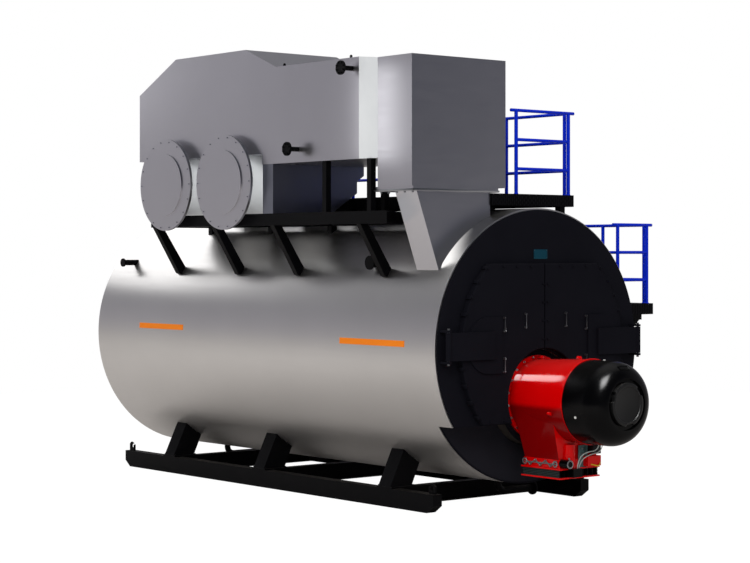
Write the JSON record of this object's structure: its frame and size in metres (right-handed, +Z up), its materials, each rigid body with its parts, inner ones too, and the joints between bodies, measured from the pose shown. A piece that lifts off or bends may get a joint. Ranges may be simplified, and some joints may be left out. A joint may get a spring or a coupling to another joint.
{
  "type": "industrial boiler",
  "caption": "Horizontal fire-tube industrial boiler on skids, with a red and black burner, hinged smoke box doors, a flue economiser on top, walkways and blue railings.",
  "frame": {"origin": "on the ground, under the middle of the middle saddle's cross beam", "axes": "+Z up, +Y along the drum from the burner end to the rear, +X to the right seen from the burner"},
  "size_m": [4.662, 9.371, 5.9443],
  "materials": {
    "stainless_cladding": "brushed",
    "grey_duct_sheet": "satin",
    "bare_steel": "satin",
    "boiler_plate": "matt",
    "railing_blue": "gloss",
    "burner_red": "gloss",
    "burner_black": "gloss",
    "black_paint": "satin"
  },
  "bodies": {
    "boiler": {"air_inlet_grille": "black_paint", "air_inlet_housing": "burner_red", "air_inlet_plates": "burner_red", "blowdown_pipes": "black_paint", "boiler_shell": "stainless_cladding", "burner_body": "burner_red", "burner_cap": "burner_black", "burner_control_box": "burner_red", "burner_cover": "burner_black", "burner_flange": "bare_steel", "burner_mount_plate": "boiler_plate", "burner_servo": "burner_black", "burner_throat": "boiler_plate", "drum_covers": "grey_duct_sheet", "duct_posts": "black_paint", "economiser_casing": "grey_duct_sheet", "economiser_drums": "bare_steel", "economiser_legs": "black_paint", "flue_box": "grey_duct_sheet", "flue_connector": "grey_duct_sheet", "flue_duct": "grey_duct_sheet", "flue_riser": "grey_duct_sheet", "frame_beams": "black_paint", "frame_cross_ties": "black_paint", "frame_inner_legs": "black_paint", "frame_knee_struts": "black_paint", "front_tube_sheet": "boiler_plate", "hinge_lugs": "black_paint", "hinge_pins": "bare_steel", "lower_front_plate": "black_paint", "pipe_nozzles": "black_paint", "platform_ladder": "railing_blue", "rear_cover": "stainless_cladding", "rear_hatch": "black_paint", "saddle_legs": "black_paint", "side_front_railing": "railing_blue", "side_long_railing": "railing_blue", "side_platform": "black_paint", "side_platform_brackets": "black_paint", "skid_cross_beams": "black_paint", "skids": "black_paint", "smoke_box_arch_plate": "black_paint", "smoke_box_casing": "stainless_cladding", "smoke_box_crown_plate": "black_paint", "smoke_box_side_plates": "black_paint", "tow_hooks": "black_paint", "upper_front_railing": "railing_blue", "upper_rear_railing": "railing_blue", "upper_side_railing": "railing_blue", "upper_walkway": "black_paint", "walkway_legs": "black_paint", "walkway_stair": "railing_blue"},
    "left_door": {"left_door_leaf": "black_paint", "left_door_strap": "black_paint", "left_door_arm": "black_paint", "left_door_handles": "bare_steel"},
    "right_door": {"right_door_leaf": "black_paint", "right_door_strap": "black_paint", "right_door_arm": "black_paint", "right_door_handles": "bare_steel"}
  },
  "joints": [
    {"name": "left_door_hinge", "type": "hinge", "parent": "boiler", "child": "left_door", "pos_m": [-1.644, -4.298, 2.09], "axis": [0, 0, -1], "range_deg": [0, 105]},
    {"name": "right_door_hinge", "type": "hinge", "parent": "boiler", "child": "right_door", "pos_m": [1.644, -4.298, 2.09], "axis": [0, 0, 1], "range_deg": [0, 105]}
  ]
}
